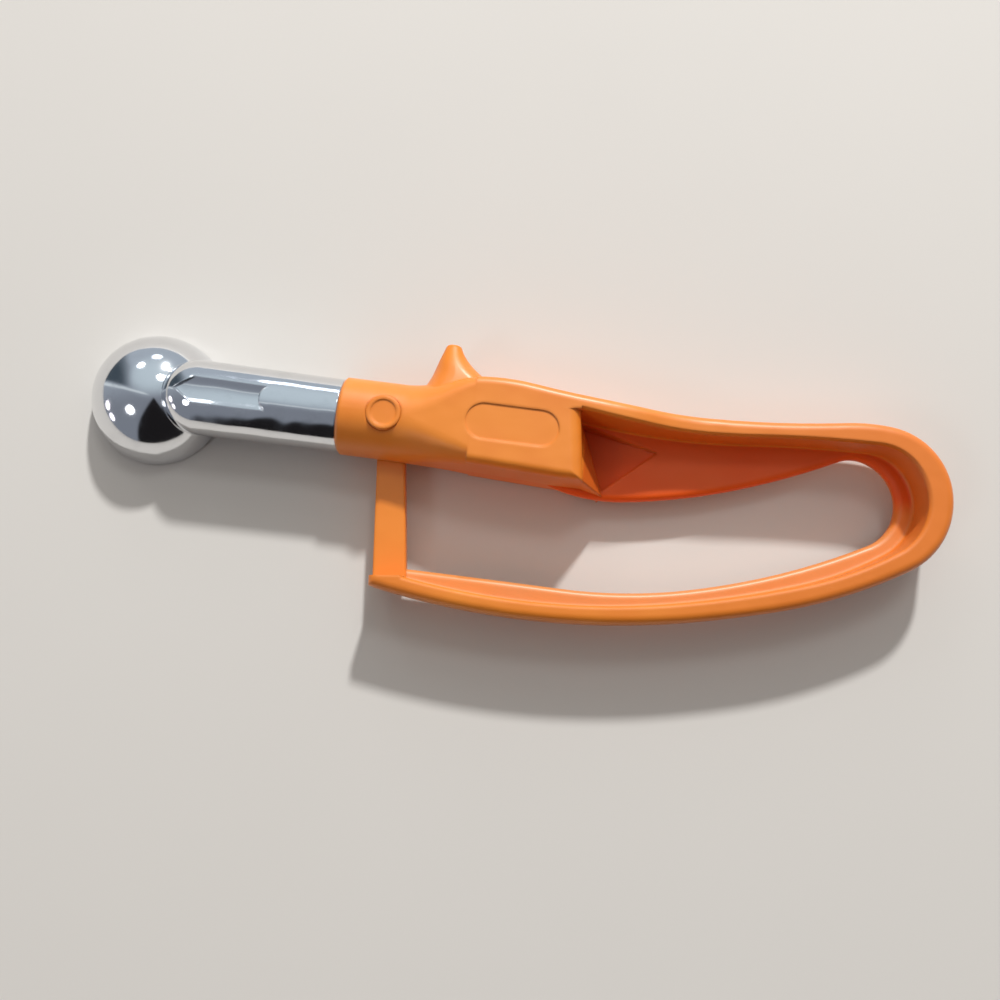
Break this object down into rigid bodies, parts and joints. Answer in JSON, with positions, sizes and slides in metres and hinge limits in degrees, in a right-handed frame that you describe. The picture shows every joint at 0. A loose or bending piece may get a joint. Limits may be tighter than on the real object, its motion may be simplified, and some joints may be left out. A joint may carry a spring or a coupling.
{
  "type": "lever ice cream scoop",
  "caption": "Rigid ice cream scoop: round chrome bowl on a thick neck pinned into a plastic grip with a thumb fin and a long closed hand loop.",
  "frame": {"origin": "centre of the bounding box in X and Y, on the plane the tool rests on", "axes": "+X from bowl to tail along the neck's axis, +Y to the thumb fin's side, +Z away from the resting plane; the bowl's mouth faces -Z"},
  "size_m": [0.3074, 0.092, 0.03],
  "materials": {
    "chrome": "polished chrome plating",
    "orange_plastic": "moulded, glossy",
    "orange_cap": "moulded, glossy",
    "pin_steel": "ground"
  },
  "bodies": {
    "root": {"scoop_head": "chrome", "handle": "orange_plastic", "cross_pin": "pin_steel", "front_pin_cap": "orange_cap", "back_pin_cap": "orange_cap"}
  },
  "joints": []
}
